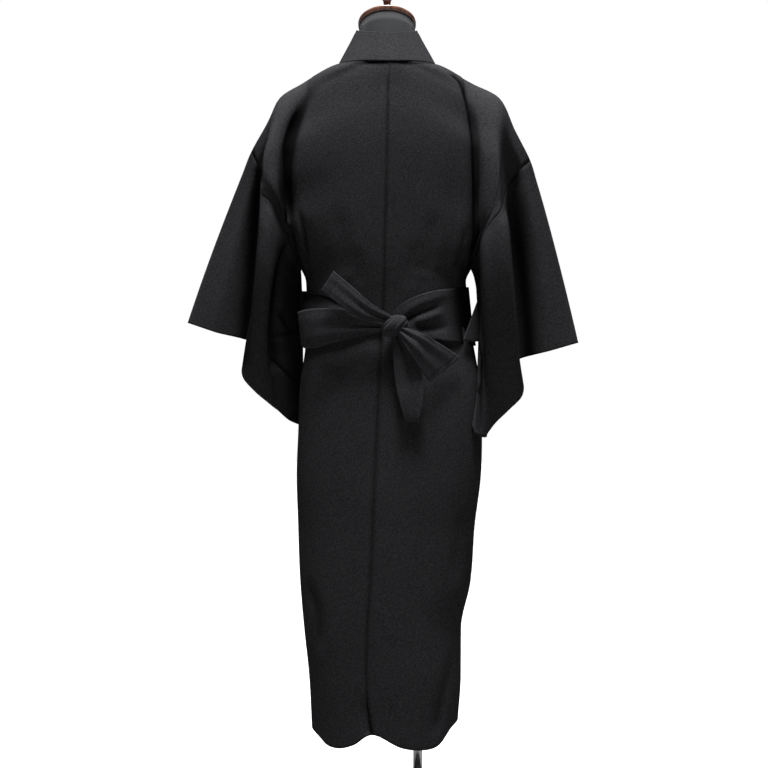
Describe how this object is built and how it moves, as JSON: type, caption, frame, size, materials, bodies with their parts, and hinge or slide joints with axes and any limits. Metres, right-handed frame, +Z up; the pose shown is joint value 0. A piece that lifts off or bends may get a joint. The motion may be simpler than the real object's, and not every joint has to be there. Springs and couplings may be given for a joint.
{
  "type": "yukata on a limbless dress form",
  "caption": "Plain black yukata, left front over right, with a soft belt tied in a bow at the back, on a limbless dress form with a round base.",
  "frame": {"origin": "on the floor, at the underside of the base, under the middle of the torso", "axes": "+Z up, -Y the garment's front, +Y its back with the bow, +X the wearer's left"},
  "size_m": [0.7699, 0.36, 1.6463],
  "materials": {
    "cloth": "matt woven, fine twill",
    "belt_cloth": "matt woven, fine twill, a little smoother",
    "jersey": "matt knitted jersey cover",
    "cap": "glossy varnish",
    "stand": "polished"
  },
  "bodies": {
    "root": {"body_left": "cloth", "body_right": "cloth", "okumi_left": "cloth", "okumi_right": "cloth", "collar_left": "cloth", "collar_right": "cloth", "sleeve_left": "cloth", "sleeve_right": "cloth", "belt_band": "belt_cloth", "belt_knot": "belt_cloth", "bow_end_upper": "belt_cloth", "bow_end_lower": "belt_cloth", "bow_loop": "belt_cloth", "bow_loop_hanging": "belt_cloth", "torso_form": "jersey", "neck_cap": "cap", "cap_finial": "cap", "stand_pole": "stand", "stand_base": "stand"}
  },
  "joints": []
}
